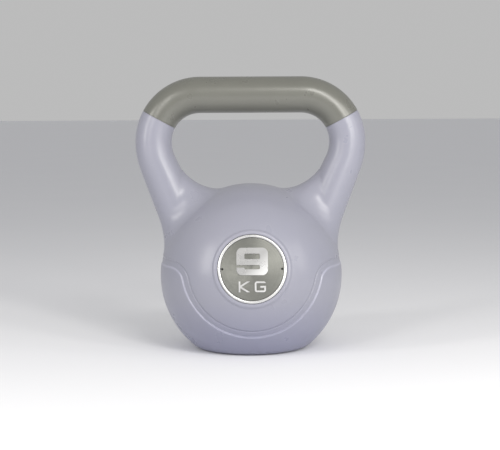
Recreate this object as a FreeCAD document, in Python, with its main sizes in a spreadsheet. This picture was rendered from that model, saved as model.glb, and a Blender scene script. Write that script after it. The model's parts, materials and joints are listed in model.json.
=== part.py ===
import FreeCAD, Part
import math
import os
import Sketcher

# A plastic-skinned, cement-filled kettlebell.
# Millimetres, +Z up, origin on the table at the middle of the flat base.
# The grip bar runs along X; one badge faces -Y (front), the other +Y (rear).

doc = FreeCAD.newDocument("kettlebell")
sheet = doc.addObject("Spreadsheet::Sheet", "sizes")

SIZES = (
    # the round body
    ("bell_radius", 95.4),          # ball that forms the upper body
    ("boot_step", 0.6),             # how much larger the ball of the lower jacket is
    ("boot_drop", 1.4),             # how far its centre is below the upper ball's
    ("base_cut", 19.0),             # what the flat base takes off the jacket's ball
    ("base_flat", 50.0),            # radius of the flat the bell stands on
    ("wall", 3.0),                  # blow-moulded skin
    ("floor", 5.0),                 # skin across the base
    # the U-shaped step between body and boot, seen from the front
    ("window_margin", 30.4),        # from the ball's outline in to the round part of the U
    ("window_lift", 15.6),          # centre of that round part above the ball's
    ("shoulder_lift", 3.5),         # level part of the step above that centre
    ("shoulder_round", 20.0),       # turn between the two
    ("channel_width", 6.5),
    ("channel_depth", 0.4),
    ("boot_edge", 1.6),             # rounding of the boot's rim
    # the handle
    ("tube_radius", 19.0),          # grip and upper leg
    ("hand_room", 74.2),            # from the top of the ball to the bar
    ("bar_half", 53.0),             # half of the straight length
    ("bend_radius", 49.0),
    ("leg_lean", 23.2),             # degrees from upright
    ("leg_taper", 2.9),             # degrees, half angle
    ("leg_length", 100.0),          # tapered length, down into the ball
    ("crotch_round", 36.0),         # leg to ball, on the hand side
    ("hip_round", 46.0),            # leg to ball, on the outside
    ("grip_end", 28.7),             # sleeve stops here, degrees above level
    ("sleeve_wall", 2.5),
    ("bar_wall", 3.0),              # skin of the bar under the sleeve
    ("fit_gap", 0.05),              # between pieces moulded on one another
    # inside the handle
    ("rod_radius", 6.0),
    ("rod_leg", 95.0),
    # the filling hole and its cap
    ("hole_radius", 23.0),
    ("cap_lip", 4.0),               # the cap reaches this far past the hole
    ("cap_gap", 0.4),
    ("cap_sink", 0.3),              # cap face above the table
    ("cap_thick", 2.2),
    ("cap_skirt", 8.0),
    ("cap_wall", 2.4),
    # the badges
    ("badge_tilt", 9.5),            # axis above level, degrees
    ("seat_depth", 3.0),
    ("seat_gap", 0.3),
    ("lip_radius", 1.9),            # rolled bead round each seat
    ("lip_rise", 0.6),
    ("ring_outer", 34.8),
    ("ring_band", 3.1),             # width of the bright ring
    ("ring_height", 3.1),
    ("ring_edge", 0.8),
    ("ring_wall", 1.4),             # thin wall of the ring round the plate's flange
    ("plate_gap", 0.3),             # between the ring's bore and the plate's face
    ("plate_height", 1.8),
    ("flange_height", 1.0),
    ("tape_inset", 0.4),            # the tape stops short of the flange's edge
    ("tape_height", 0.8),
    ("pin_inset", 1.5),             # pin holes in from the edge of the plate's face
    ("pin_hole", 1.15),
    # the mass mark, for a plate face of radius mark_plate; it grows with the plate
    ("mark_plate", 31.4),
    ("mark_rise", 0.8),
    ("nine_width", 31.4),
    ("nine_height", 27.4),
    ("nine_lift", 7.6),             # centre above the badge axis
    ("nine_side", 8.0),             # upright strokes
    ("nine_counter", 5.4),
    ("nine_notch", 4.3),
    ("nine_gap", 2.6),
    ("nine_bar", 5.8),              # lowest stroke
    ("nine_round", 5.6),
    ("nine_inner", 1.3),            # corners of the counter and the notch
    ("letter_height", 10.8),
    ("letter_width", 11.2),
    ("letter_drop", 17.7),          # centre below the badge axis
    ("letter_shift", 8.0),          # centre beside the badge axis
    ("letter_stroke", 1.75),
    ("letter_round", 2.4),
)

# sizes and places that follow from the ones above
FOLLOWING = (
    ("boot_radius", "=bell_radius + boot_step"),
    ("boot_height", "=boot_radius - base_cut"),             # ball centres above the table
    ("bell_height", "=boot_height + boot_drop"),
    ("bend_height", "=bell_height + bell_radius + hand_room + tube_radius - bend_radius"),
    ("bar_height", "=bend_height + bend_radius"),
    ("window_radius", "=bell_radius - window_margin"),
    ("window_centre", "=bell_height + window_lift"),
    ("shoulder", "=window_centre + shoulder_lift"),
    ("core_radius", "=tube_radius - sleeve_wall"),
    ("cap_radius", "=hole_radius + cap_lip"),
    ("seat_radius", "=ring_outer + seat_gap"),
    ("bead_circle", "=seat_radius + lip_radius"),
    ("ring_inner", "=ring_outer - ring_band"),
    ("plate_radius", "=ring_inner - plate_gap"),
    ("flange_radius", "=ring_outer - ring_wall"),
    ("tape_radius", "=flange_radius - tape_inset"),
    ("pin_circle", "=plate_radius - pin_inset"),
    ("mark_scale", "=plate_radius / mark_plate"),
)

for row, (alias, content) in enumerate(SIZES + FOLLOWING, start=1):
    sheet.set("A%d" % row, alias)
    sheet.set("B%d" % row, str(content))
    sheet.setAlias("B%d" % row, alias)
doc.recompute()

X_AXIS = FreeCAD.Vector(1, 0, 0)
Y_AXIS = FreeCAD.Vector(0, 1, 0)
Z_AXIS = FreeCAD.Vector(0, 0, 1)
ALONG_X = FreeCAD.Rotation(Y_AXIS, 90)
UPRIGHT_RING = FreeCAD.Rotation(X_AXIS, 90)
HALF_TURN = FreeCAD.Rotation(Z_AXIS, 180)
REACH = 500.0                       # larger than the whole part
TOUCH = 0.01                        # nearer than this counts as touching


def size(*aliases):
    """The sum of the named sizes."""
    return sum(float(sheet.get(alias)) for alias in aliases)


def cell(*aliases):
    """The same sum as a formula, to bind a size to."""
    return "(%s)" % " + ".join(["0"] + ["<<sizes>>." + alias for alias in aliases])


def solid(kind, name, rotation=None, **sizes):
    """A Part primitive; x, y, z place it and the rest are its own sizes."""
    item = doc.addObject("Part::" + kind, name)
    if rotation is not None:
        item.Placement = FreeCAD.Placement(FreeCAD.Vector(), rotation)
    for key, formula in sizes.items():
        target = "Placement.Base." + key if key in ("x", "y", "z") else key
        item.setExpression(target, formula)
    return item


def fuse(name, *items):
    union = doc.addObject("Part::MultiFuse", name)
    union.Shapes = list(items)
    union.Refine = True
    return union


def cut(name, base, tool):
    rest = doc.addObject("Part::Cut", name)
    rest.Base = base
    rest.Tool = tool
    rest.Refine = True
    return rest


def common(name, first, second):
    shared = doc.addObject("Part::MultiCommon", name)
    shared.Shapes = [first, second]
    return shared


def rounded(name, base, choose):
    """Round every edge for which choose(edge) gives a pair of radii."""
    doc.recompute()
    edges = []
    for number, edge in enumerate(base.Shape.Edges, start=1):
        radii = choose(edge)
        if radii:
            edges.append((number, radii[0], radii[1]))
    fillet = doc.addObject("Part::Fillet", name)
    fillet.Base = base
    fillet.Edges = edges
    return fillet


def role_plane(body, role):
    return [item for item in body.Origin.OriginFeatures if item.Role == role][0]


def new_sketch(body, name):
    sketch = body.newObject("Sketcher::SketchObject", name)
    sketch.AttachmentSupport = (role_plane(body, "XZ_Plane"), [""])
    sketch.MapMode = "FlatFace"
    return sketch


def bind(sketch, constraint, formula):
    index = sketch.addConstraint(constraint)
    if formula:
        sketch.setExpression("Constraints[%d]" % index, formula)


# ---------------------------------------------------------------- handle runs

def bar_run(name, radius, stop, sign=1):
    """The bar and its two bends, which stop at an angle above level, or below for sign -1."""
    turn = UPRIGHT_RING.multiply(FreeCAD.Rotation(Z_AXIS, sign * size(stop)))
    sides = []
    for side, rotation, shift in (("right", turn, ""), ("left", HALF_TURN.multiply(turn), "-")):
        sides.append(solid(
            "Torus", "%s_%s_bend" % (name, side), rotation,
            Radius1=cell("bend_radius"), Radius2=radius, Angle3="90 - %d * %s" % (sign, cell(stop)),
            x=shift + cell("bar_half"), z=cell("bend_height")))
    bar = solid(
        "Cylinder", name + "_bar", ALONG_X, Radius=radius, Height="2 * " + cell("bar_half"),
        x="-" + cell("bar_half"), z=cell("bar_height"))
    return fuse(name, bar, *sides)


def leg_loft(name, inset):
    """The right leg: circles set square to a line that leans over smoothly."""
    lean = math.radians(size("leg_lean"))
    growth = math.tan(math.radians(size("leg_taper")))
    top_x = size("bar_half", "bend_radius")
    lean_radius = size("bend_radius") / 2.0 / math.sin(lean)
    lean_arc = lean_radius * lean
    sections = []
    # three circles round the lean, where the taper sets in, then two down the straight
    for share in (0.0, 0.5, 1.0):
        angle = lean * share
        sections.append((
            top_x - lean_radius * (1.0 - math.cos(angle)),
            size("bend_height") - lean_radius * math.sin(angle),
            angle, growth * lean_arc * share ** 2 / 2.0))
    end_x, end_z, angle, swell = sections[-1]
    for share in (0.5, 1.0):
        run = share * size("leg_length")
        sections.append((
            end_x - run * math.sin(lean),
            end_z - run * math.cos(lean),
            lean, swell + run * growth))
    rings = []
    for number, (x, z, angle, swell) in enumerate(sections, start=1):
        ring = doc.addObject("Part::Circle", "%s_ring_%d" % (name, number))
        ring.setExpression("Radius", "%s - %s + %f" % (cell("tube_radius"), cell(*inset), swell))
        ring.Placement = FreeCAD.Placement(
            FreeCAD.Vector(x, 0, z), FreeCAD.Rotation(Y_AXIS, 180 + math.degrees(angle)))
        rings.append(ring)
    loft = doc.addObject("Part::Loft", name)
    loft.Sections = rings
    loft.Solid = True
    loft.Ruled = False
    return loft


def body_with_legs(name, inset, bar_inset):
    """Ball, legs and bar as one smooth solid; one half is made and mirrored."""
    bar_radius = "%s - %s" % (cell("tube_radius"), cell(*bar_inset))
    ball = solid("Sphere", name + "_ball", z=cell("bell_height"),
                 Radius="%s - %s" % (cell("bell_radius"), cell(*inset)))
    leg = leg_loft(name + "_leg", inset)
    bend = solid("Torus", name + "_bend", UPRIGHT_RING,
                 Radius1=cell("bend_radius"), Radius2=bar_radius, Angle3="90",
                 x=cell("bar_half"), z=cell("bend_height"))
    bar = solid("Cylinder", name + "_bar", ALONG_X, Radius=bar_radius,
                Height=cell("bar_half"), z=cell("bar_height"))
    joined = fuse(name + "_joined", ball, leg, bend, bar)

    def hip(edge):
        """The edge round the foot of the leg, tightest on the side of the hand."""
        box = edge.BoundBox
        on_ball = box.ZMin > size("bell_height") and box.ZMax < size("bell_height", "bell_radius")
        round_leg = box.YLength > size("rod_radius") and box.XMin > size("rod_radius")
        if not (on_ball and round_leg):
            return None
        start = edge.valueAt(edge.FirstParameter)
        end = edge.valueAt(edge.LastParameter)
        radii = (size("crotch_round", *inset), size("hip_round", *inset))
        return radii if start.x < end.x else radii[::-1]

    smooth = rounded(name + "_smooth", joined, hip)
    keep = solid("Box", name + "_right", Length=str(REACH), Width=str(REACH), Height=str(REACH),
                 y=str(-REACH / 2.0), z=str(-REACH / 4.0))
    right = common(name + "_half", smooth, keep)
    left = doc.addObject("Part::Mirroring", name + "_other_half")
    left.Source = right
    left.Normal = X_AXIS
    return fuse(name, right, left)


# ------------------------------------------------------------ boot and window

def window(name, *grown):
    """Everything inside the U, seen from the front, right through the part."""
    body = doc.addObject("PartDesign::Body", name)
    sketch = new_sketch(body, name + "_outline")
    radius = size("window_radius", *grown)
    turn = size("shoulder_round") - size(*grown)
    level = size("shoulder") - size(*grown)
    centre = size("window_centre")
    drop = centre - (level - turn)
    reach = math.sqrt((radius + turn) ** 2 - drop ** 2)
    touch_x = reach * radius / (radius + turn)
    touch_z = centre - drop * radius / (radius + turn)
    wide = REACH / 2.0
    high = REACH
    vector = FreeCAD.Vector
    down = math.atan2(touch_z - centre, touch_x)
    turn_start = math.pi / 2.0
    turn_end = math.atan2(touch_z - (level - turn), touch_x - reach)
    upright = vector(0, 0, 1)
    lower = sketch.addGeometry(Part.ArcOfCircle(
        Part.Circle(vector(0, centre, 0), upright, radius), math.pi - down, down), False)
    right = sketch.addGeometry(Part.ArcOfCircle(
        Part.Circle(vector(reach, level - turn, 0), upright, turn), turn_start, turn_end), False)
    left = sketch.addGeometry(Part.ArcOfCircle(
        Part.Circle(vector(-reach, level - turn, 0), upright, turn),
        math.pi - turn_end, math.pi - turn_start), False)
    corners = (vector(reach, level, 0), vector(wide, level, 0), vector(wide, high, 0),
               vector(-wide, high, 0), vector(-wide, level, 0), vector(-reach, level, 0))
    sides = []
    for start, end in zip(corners, corners[1:]):
        sides.append(sketch.addGeometry(Part.LineSegment(start, end), False))
    for first, second in zip(sides, sides[1:]):
        bind(sketch, Sketcher.Constraint("Coincident", first, 2, second, 1), None)
    for number in sides[0::2]:
        bind(sketch, Sketcher.Constraint("Horizontal", number), None)
    for number in sides[1::2]:
        bind(sketch, Sketcher.Constraint("Vertical", number), None)
    bind(sketch, Sketcher.Constraint("Tangent", right, 1, sides[0], 1), None)
    bind(sketch, Sketcher.Constraint("Tangent", left, 2, sides[-1], 2), None)
    bind(sketch, Sketcher.Constraint("Tangent", lower, 2, right, 2), None)
    bind(sketch, Sketcher.Constraint("Tangent", lower, 1, left, 1), None)
    bind(sketch, Sketcher.Constraint("PointOnObject", lower, 3, -2), None)
    bind(sketch, Sketcher.Constraint("Radius", lower, radius),
         cell("window_radius", *grown))
    bind(sketch, Sketcher.Constraint("Radius", right, turn),
         "%s - %s" % (cell("shoulder_round"), cell(*grown)))
    bind(sketch, Sketcher.Constraint("Equal", right, left), None)
    bind(sketch, Sketcher.Constraint("DistanceY", -1, 1, lower, 3, centre), cell("window_centre"))
    bind(sketch, Sketcher.Constraint("DistanceY", -1, 1, sides[0], 1, level),
         "%s - %s" % (cell("shoulder"), cell(*grown)))
    bind(sketch, Sketcher.Constraint("DistanceY", -1, 1, sides[-1], 1, level),
         "%s - %s" % (cell("shoulder"), cell(*grown)))
    bind(sketch, Sketcher.Constraint("DistanceY", -1, 1, sides[1], 2, high), None)
    bind(sketch, Sketcher.Constraint("DistanceX", -1, 1, sides[1], 2, wide), None)
    bind(sketch, Sketcher.Constraint("DistanceX", sides[3], 1, -1, 1, wide), None)
    pad = body.newObject("PartDesign::Pad", name + "_pad")
    pad.Profile = sketch
    pad.Length = REACH
    pad.SideType = "Symmetric"
    return body


def boot_turning(name, inset=(), bottom=()):
    """The lower jacket as a turned solid: flat base, heel curve, round side."""
    body = doc.addObject("PartDesign::Body", name)
    sketch = new_sketch(body, name + "_outline")
    vector = FreeCAD.Vector
    upright = vector(0, 0, 1)
    radius = size("boot_radius") - size(*inset)
    centre = size("boot_height")
    low = size(*bottom)
    flat = size("base_flat")
    rise = centre - low
    heel = (radius ** 2 - flat ** 2 - rise ** 2) / (2.0 * (radius - rise))
    angle = math.atan2(low + heel - centre, flat)
    top = size("shoulder")
    top_r = math.sqrt(radius ** 2 - (top - centre) ** 2)
    top_angle = math.atan2(top - centre, top_r)
    base = sketch.addGeometry(Part.LineSegment(vector(0, low, 0), vector(flat, low, 0)), False)
    curve = sketch.addGeometry(Part.ArcOfCircle(
        Part.Circle(vector(flat, low + heel, 0), upright, heel), -math.pi / 2.0, angle), False)
    side = sketch.addGeometry(Part.ArcOfCircle(
        Part.Circle(vector(0, centre, 0), upright, radius), angle, top_angle), False)
    lid = sketch.addGeometry(Part.LineSegment(vector(top_r, top, 0), vector(0, top, 0)), False)
    axis = sketch.addGeometry(Part.LineSegment(vector(0, top, 0), vector(0, low, 0)), False)
    bind(sketch, Sketcher.Constraint("Tangent", base, 2, curve, 1), None)
    bind(sketch, Sketcher.Constraint("Tangent", curve, 2, side, 1), None)
    bind(sketch, Sketcher.Constraint("Coincident", side, 2, lid, 1), None)
    bind(sketch, Sketcher.Constraint("Coincident", lid, 2, axis, 1), None)
    bind(sketch, Sketcher.Constraint("Coincident", axis, 2, base, 1), None)
    bind(sketch, Sketcher.Constraint("Horizontal", base), None)
    bind(sketch, Sketcher.Constraint("Horizontal", lid), None)
    bind(sketch, Sketcher.Constraint("PointOnObject", base, 1, -2), None)
    bind(sketch, Sketcher.Constraint("PointOnObject", lid, 2, -2), None)
    bind(sketch, Sketcher.Constraint("PointOnObject", side, 3, -2), None)
    bind(sketch, Sketcher.Constraint("Radius", side, radius),
         "%s - %s" % (cell("boot_radius"), cell(*inset)))
    bind(sketch, Sketcher.Constraint("DistanceY", -1, 1, side, 3, centre), cell("boot_height"))
    bind(sketch, Sketcher.Constraint("DistanceX", base, 1, base, 2, flat), cell("base_flat"))
    bind(sketch, Sketcher.Constraint("DistanceY", -1, 1, lid, 1, top), cell("shoulder"))
    if low:
        bind(sketch, Sketcher.Constraint("DistanceY", -1, 1, base, 1, low), cell(*bottom))
    else:
        bind(sketch, Sketcher.Constraint("PointOnObject", base, 1, -1), None)
    turned = body.newObject("PartDesign::Revolution", name + "_turned")
    turned.Profile = sketch
    turned.ReferenceAxis = (sketch, ["V_Axis"])
    turned.Angle = 360.0
    return body


# --------------------------------------------------------------- badge frames

def badge_place(side, out):
    """Local z along the badge axis, local y up, at distance out from the ball centre."""
    turn = FreeCAD.Rotation(X_AXIS, 90.0 - size("badge_tilt"))
    if side == "rear":
        turn = HALF_TURN.multiply(turn)
    middle = FreeCAD.Vector(0, 0, size("bell_height"))
    return FreeCAD.Placement(middle + turn.multVec(FreeCAD.Vector(0, 0, out)), turn)


def rim_distance(radius):
    """How far out along the badge axis the ball's skin is, at a radius from that axis."""
    return math.sqrt(size("bell_radius") ** 2 - radius ** 2)


seat_floor = rim_distance(size("seat_radius")) - size("seat_depth")

# ---------------------------------------------------------------------- shell

outer = body_with_legs("outer", (), ())
grip_blank = bar_run("grip_blank", cell("tube_radius", "sleeve_wall"), "grip_end")
bar_core = bar_run("bar_core", cell("core_radius"), "grip_end")
upper = common("upper_part", outer, window("upper_window"))

channel_ball = solid("Sphere", "channel_ball", z=cell("bell_height"),
                     Radius="%s - %s" % (cell("bell_radius"), cell("channel_depth")))
# from one channel's width below the U, where the boot is whole, up to its shoulders
below_u = "(%s - %s - 2 * %s)" % (cell("window_centre"), cell("window_radius"),
                                  cell("channel_width"))
channel_zone = solid("Cylinder", "channel_zone", Radius=str(REACH),
                     Height="%s - %s" % (cell("shoulder"), below_u), z=below_u)
channel_part = common("channel_part", channel_ball, channel_zone)
boot_cut = cut("boot_cut", boot_turning("boot_blank"), window("boot_window", "channel_width"))


def boot_rim(edge):
    """Edges where the boot's round outside meets the side of the window."""
    point = edge.valueAt((edge.FirstParameter + edge.LastParameter) / 2.0)
    from_centre = (point - FreeCAD.Vector(0, 0, size("boot_height"))).Length
    on_ball = abs(from_centre - size("boot_radius")) < TOUCH
    box = edge.BoundBox
    flat_seam = box.YLength < TOUCH and abs(point.y) < TOUCH
    heel_ring = box.ZLength < TOUCH and point.z < size("boot_height") / 2.0
    if on_ball and not flat_seam and not heel_ring:
        return (size("boot_edge"), size("boot_edge"))
    return None


boot = rounded("boot", boot_cut, boot_rim)
skin = fuse("skin", upper, channel_part, boot)

# a rolled bead round each badge seat, the seat itself, and the skin kept behind it
bead_middle = rim_distance(size("bead_circle")) - size("lip_radius") + size("lip_rise")
beads = []
seats = []
backings = []
for side in ("front", "rear"):
    bead = solid("Torus", side + "_bead", Radius1=cell("bead_circle"), Radius2=cell("lip_radius"))
    bead.Placement = badge_place(side, bead_middle)
    beads.append(bead)
    seat = solid("Cylinder", side + "_seat", Radius=cell("seat_radius"), Height=str(REACH))
    seat.Placement = badge_place(side, seat_floor)
    seats.append(seat)
    backing = solid("Cylinder", side + "_backing", Radius=cell("seat_radius", "wall"),
                    Height=str(REACH))
    backing.Placement = badge_place(side, seat_floor - size("wall"))
    backings.append(backing)

with_bar = fuse("with_bar", cut("without_grip", skin, grip_blank), bar_core)
beaded = fuse("beaded", with_bar, *beads)
seated = cut("seated", beaded, fuse("both_seats", *seats))

# the hollow, which is also the shape of the cement
hollow_body = body_with_legs("hollow_body", ("wall",), ("sleeve_wall", "bar_wall"))
hollow_zone = solid("Cylinder", "hollow_zone", Radius=str(REACH), Height=str(REACH),
                    z=cell("floor"))
hollow_upper = common("hollow_upper", hollow_body, hollow_zone)
hollow_boot = cut("hollow_boot", boot_turning("hollow_boot_blank", ("wall",), ("floor",)),
                  window("hollow_window", "channel_width", "wall"))
hollow_all = fuse("hollow_all", hollow_upper, hollow_boot)
hollow = cut("hollow", hollow_all, fuse("both_backings", *backings))

base_hole = solid("Cylinder", "base_hole", Radius=cell("hole_radius"),
                  Height="2 * " + cell("floor"), z="-%s / 2" % cell("floor"))
cap_seat = solid("Cylinder", "cap_seat", Radius=cell("cap_radius", "cap_gap"),
                 Height=cell("cap_thick", "cap_sink"))
shell = cut("shell", seated, fuse("shell_openings", hollow, base_hole, cap_seat))

# ----------------------------------------------------------------- the sleeve

sleeve_outer = bar_run("sleeve_outer", cell("tube_radius"), "grip_end")
sleeve_bore = bar_run("sleeve_bore", cell("core_radius", "fit_gap"), "grip_end")
grip_sleeve = cut("grip_sleeve", sleeve_outer, sleeve_bore)

# ------------------------------------------------- steel rod inside the handle

rod_top = bar_run("rod_top", cell("rod_radius"), "leg_lean", sign=-1)
rod_legs = []
lean = math.radians(size("leg_lean"))
for side, sign in (("right", 1), ("left", -1)):
    spot = FreeCAD.Vector(
        sign * (size("bar_half") + size("bend_radius") * math.cos(lean)), 0,
        size("bend_height") - size("bend_radius") * math.sin(lean))
    rod_leg = solid("Cylinder", side + "_rod_leg", Radius=cell("rod_radius"), Height=cell("rod_leg"))
    rod_leg.Placement = FreeCAD.Placement(
        spot, FreeCAD.Rotation(Y_AXIS, 180 + sign * size("leg_lean")))
    rod_legs.append(rod_leg)
handle_rod = fuse("handle_rod", rod_top, *rod_legs)

# ---------------------------------------------------------------- filling cap

cap_disc = solid("Cylinder", "cap_disc", Radius=cell("cap_radius"), Height=cell("cap_thick"),
                 z=cell("cap_sink"))
cap_tube = solid("Cylinder", "cap_tube",
                 Radius="%s - %s / 2" % (cell("hole_radius"), cell("cap_gap")),
                 Height=cell("cap_skirt"), z="%s + %s / 2" % (cell("cap_sink"), cell("cap_thick")))
cap_bore = solid("Cylinder", "cap_bore", Height=cell("cap_skirt"),
                 Radius="%s - %s / 2 - %s" % (cell("hole_radius"), cell("cap_gap"), cell("cap_wall")),
                 z=cell("cap_sink", "cap_thick"))
fill_cap = cut("fill_cap", fuse("cap_solid", cap_disc, cap_tube), cap_bore)

# --------------------------------------------------------------- cement filling

cap_space = solid("Cylinder", "cap_space", Radius=cell("hole_radius"),
                  Height=cell("cap_sink", "cap_thick", "cap_skirt"))
cement_fill = cut("cement_fill", hollow, fuse("fill_openings", handle_rod, cap_space))

# --------------------------------------------------------------------- badges


def pin_holes(name):
    """Two holes through the badge plate, at three and nine o'clock."""
    holes = []
    for side, sign in (("right", ""), ("left", "-")):
        holes.append(solid("Cylinder", "%s_%s_hole" % (name, side), Radius=cell("pin_hole"),
                           Height="3 * " + cell("plate_height"),
                           x=sign + cell("pin_circle"), z="-" + cell("plate_height")))
    return fuse(name + "_holes", *holes)


def mark(alias):
    """A size of the mark, grown with the plate."""
    return "(%s * %s)" % (cell(alias), cell("mark_scale"))


def mark_block(name, width, height, x, y):
    """A flat block of the mark, placed by its lower left corner."""
    return solid("Box", name, Length=width, Width=height, Height=cell("mark_rise"), x=x, y=y)


def soft_corners(name, block, radius):
    """Round the four upright edges of a block of the mark."""
    def choose(edge):
        box = edge.BoundBox
        if box.XLength < TOUCH and box.YLength < TOUCH:
            return (size(radius) * size("mark_scale"),) * 2
        return None

    return rounded(name, block, choose)


def numeral_nine(name):
    """A wide nine: a rounded block with a counter, a notch and a gap cut out."""
    left = "-%s / 2" % mark("nine_width")
    low = "%s - %s / 2" % (mark("nine_lift"), mark("nine_height"))
    inner_width = "%s - 2 * %s" % (mark("nine_width"), mark("nine_side"))
    inner_left = "%s + %s" % (left, mark("nine_side"))
    notch_low = "%s + %s" % (low, mark("nine_bar"))
    notch_high = "%s + %s" % (notch_low, mark("nine_notch"))
    # what is left of the height is shared equally by the two upper strokes
    stroke = "(%s - %s - %s - %s) / 2" % (mark("nine_height"), mark("nine_bar"),
                                          mark("nine_notch"), mark("nine_counter"))
    block = mark_block(name + "_block", mark("nine_width"), mark("nine_height"), left, low)
    soft = soft_corners(name + "_soft", block, "nine_round")
    counter = soft_corners(name + "_counter", mark_block(
        name + "_counter_block", inner_width, mark("nine_counter"),
        inner_left, "%s + %s" % (notch_high, stroke)), "nine_inner")
    notch = soft_corners(name + "_notch", mark_block(
        name + "_notch_block", inner_width, mark("nine_notch"),
        inner_left, notch_low), "nine_inner")
    # the gap runs on into the notch, so that the two are one opening
    gap = mark_block(name + "_gap", "1.2 * %s" % mark("nine_side"), mark("nine_gap"),
                     left, "%s - %s" % (notch_high, mark("nine_gap")))
    return cut(name, soft, fuse(name + "_holes", counter, notch, gap))


def letter_k(name):
    """An upright and two slanting arms, trimmed to the letter's height."""
    left = "-%s - %s / 2" % (mark("letter_shift"), mark("letter_width"))
    low = "-%s - %s / 2" % (mark("letter_drop"), mark("letter_height"))
    stem = mark_block(name + "_stem", mark("letter_stroke"), mark("letter_height"), left, low)
    stroke = size("letter_stroke") * size("mark_scale")
    width = size("letter_width") * size("mark_scale")
    half_height = size("letter_height") * size("mark_scale") / 2.0
    slope = math.degrees(math.atan2(half_height, width - 1.5 * stroke))
    # the arms start inside the stem
    start = FreeCAD.Vector(
        -size("letter_shift") * size("mark_scale") - width / 2.0 + 0.75 * stroke,
        -size("letter_drop") * size("mark_scale"), 0)
    arms = []
    for side, sign in (("upper", 1), ("lower", -1)):
        arm = solid("Box", "%s_%s_arm" % (name, side), Length="2 * " + mark("letter_width"),
                    Width=mark("letter_stroke"), Height=cell("mark_rise"))
        turn = FreeCAD.Rotation(Z_AXIS, sign * slope)
        arm.Placement = FreeCAD.Placement(
            start - turn.multVec(FreeCAD.Vector(0, stroke / 2.0, 0)), turn)
        arms.append(arm)
    frame = mark_block(name + "_frame", mark("letter_width"), mark("letter_height"), left, low)
    return common(name, fuse(name + "_strokes", stem, *arms), frame)


def letter_g(name):
    """A rounded frame, open at the upper right, with a short inner bar."""
    left = "%s - %s / 2" % (mark("letter_shift"), mark("letter_width"))
    low = "-%s - %s / 2" % (mark("letter_drop"), mark("letter_height"))
    stroke = mark("letter_stroke")
    block = mark_block(name + "_block", mark("letter_width"), mark("letter_height"), left, low)
    soft = soft_corners(name + "_soft", block, "letter_round")
    inside = mark_block(name + "_inside", "%s - 2 * %s" % (mark("letter_width"), stroke),
                        "%s - 2 * %s" % (mark("letter_height"), stroke),
                        "%s + %s" % (left, stroke), "%s + %s" % (low, stroke))
    opening = mark_block(name + "_opening", "1.5 * %s" % stroke,
                         "%s / 2 - 1.5 * %s" % (mark("letter_height"), stroke),
                         "%s + %s / 2 - %s" % (mark("letter_shift"), mark("letter_width"), stroke),
                         "-%s + %s / 2" % (mark("letter_drop"), stroke))
    tongue = mark_block(name + "_tongue", "%s / 2" % mark("letter_width"), stroke,
                        mark("letter_shift"), "-%s - %s / 2" % (mark("letter_drop"), stroke))
    frame = cut(name + "_ring", soft, fuse(name + "_holes", inside, opening))
    return fuse(name, frame, tongue)


def make_badge(side):
    """The six pieces stacked in one seat, from the tape up."""
    def disc(name, radius, height):
        return solid("Cylinder", "%s_%s" % (side, name), Radius=radius, Height=height)

    tape = disc("badge_tape", cell("tape_radius"), cell("tape_height"))
    flange = disc("plate_flange", cell("flange_radius"), cell("flange_height"))
    face = disc("plate_face", cell("plate_radius"), cell("plate_height"))
    plate = cut(side + "_badge_plate", fuse(side + "_plate_blank", flange, face),
                pin_holes(side + "_plate"))
    rim = disc("ring_disc", cell("ring_outer"), cell("ring_height"))
    bore = disc("ring_bore", cell("ring_inner"), cell("ring_height"))
    rebate = disc("ring_rebate", cell("flange_radius", "fit_gap"),
                  cell("tape_height", "flange_height", "fit_gap"))
    plain_ring = cut(side + "_ring_plain", rim, fuse(side + "_ring_hollow", bore, rebate))

    def ring_top(edge):
        if edge.BoundBox.ZMin > size("ring_height") - TOUCH:
            return (size("ring_edge"),) * 2
        return None

    ring = rounded(side + "_badge_ring", plain_ring, ring_top)
    face_top = size("tape_height", "plate_height")
    pieces = (
        (tape, 0.0), (plate, size("tape_height")), (ring, 0.0),
        (numeral_nine(side + "_numeral"), face_top),
        (letter_k(side + "_letter_k"), face_top),
        (letter_g(side + "_letter_g"), face_top))
    for piece, above in pieces:
        piece.Placement = badge_place(side, seat_floor + above)
    return [piece for piece, above in pieces]


nodes = [shell, grip_sleeve, cement_fill, handle_rod, fill_cap]
nodes += make_badge("front")
nodes += make_badge("rear")

doc.recompute()
for item in doc.Objects:
    if "Invalid" in item.State or "Error" in item.State:
        raise RuntimeError("%s did not build" % item.Name)
for node in nodes:
    if node.Shape.isNull() or not node.Shape.isValid():
        raise RuntimeError("%s has no valid shape" % node.Name)

os.makedirs("parts", exist_ok=True)
for node in nodes:
    node.Label = node.Name
    node.Shape.exportStep("parts/%s.step" % node.Label)
    box = node.Shape.BoundBox
    print("%-20s solids %d volume %.1f cm3  x %.1f..%.1f y %.1f..%.1f z %.1f..%.1f" % (
        node.Label, len(node.Shape.Solids), node.Shape.Volume / 1000.0,
        box.XMin, box.XMax, box.YMin, box.YMax, box.ZMin, box.ZMax))
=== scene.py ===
import json
import math

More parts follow.
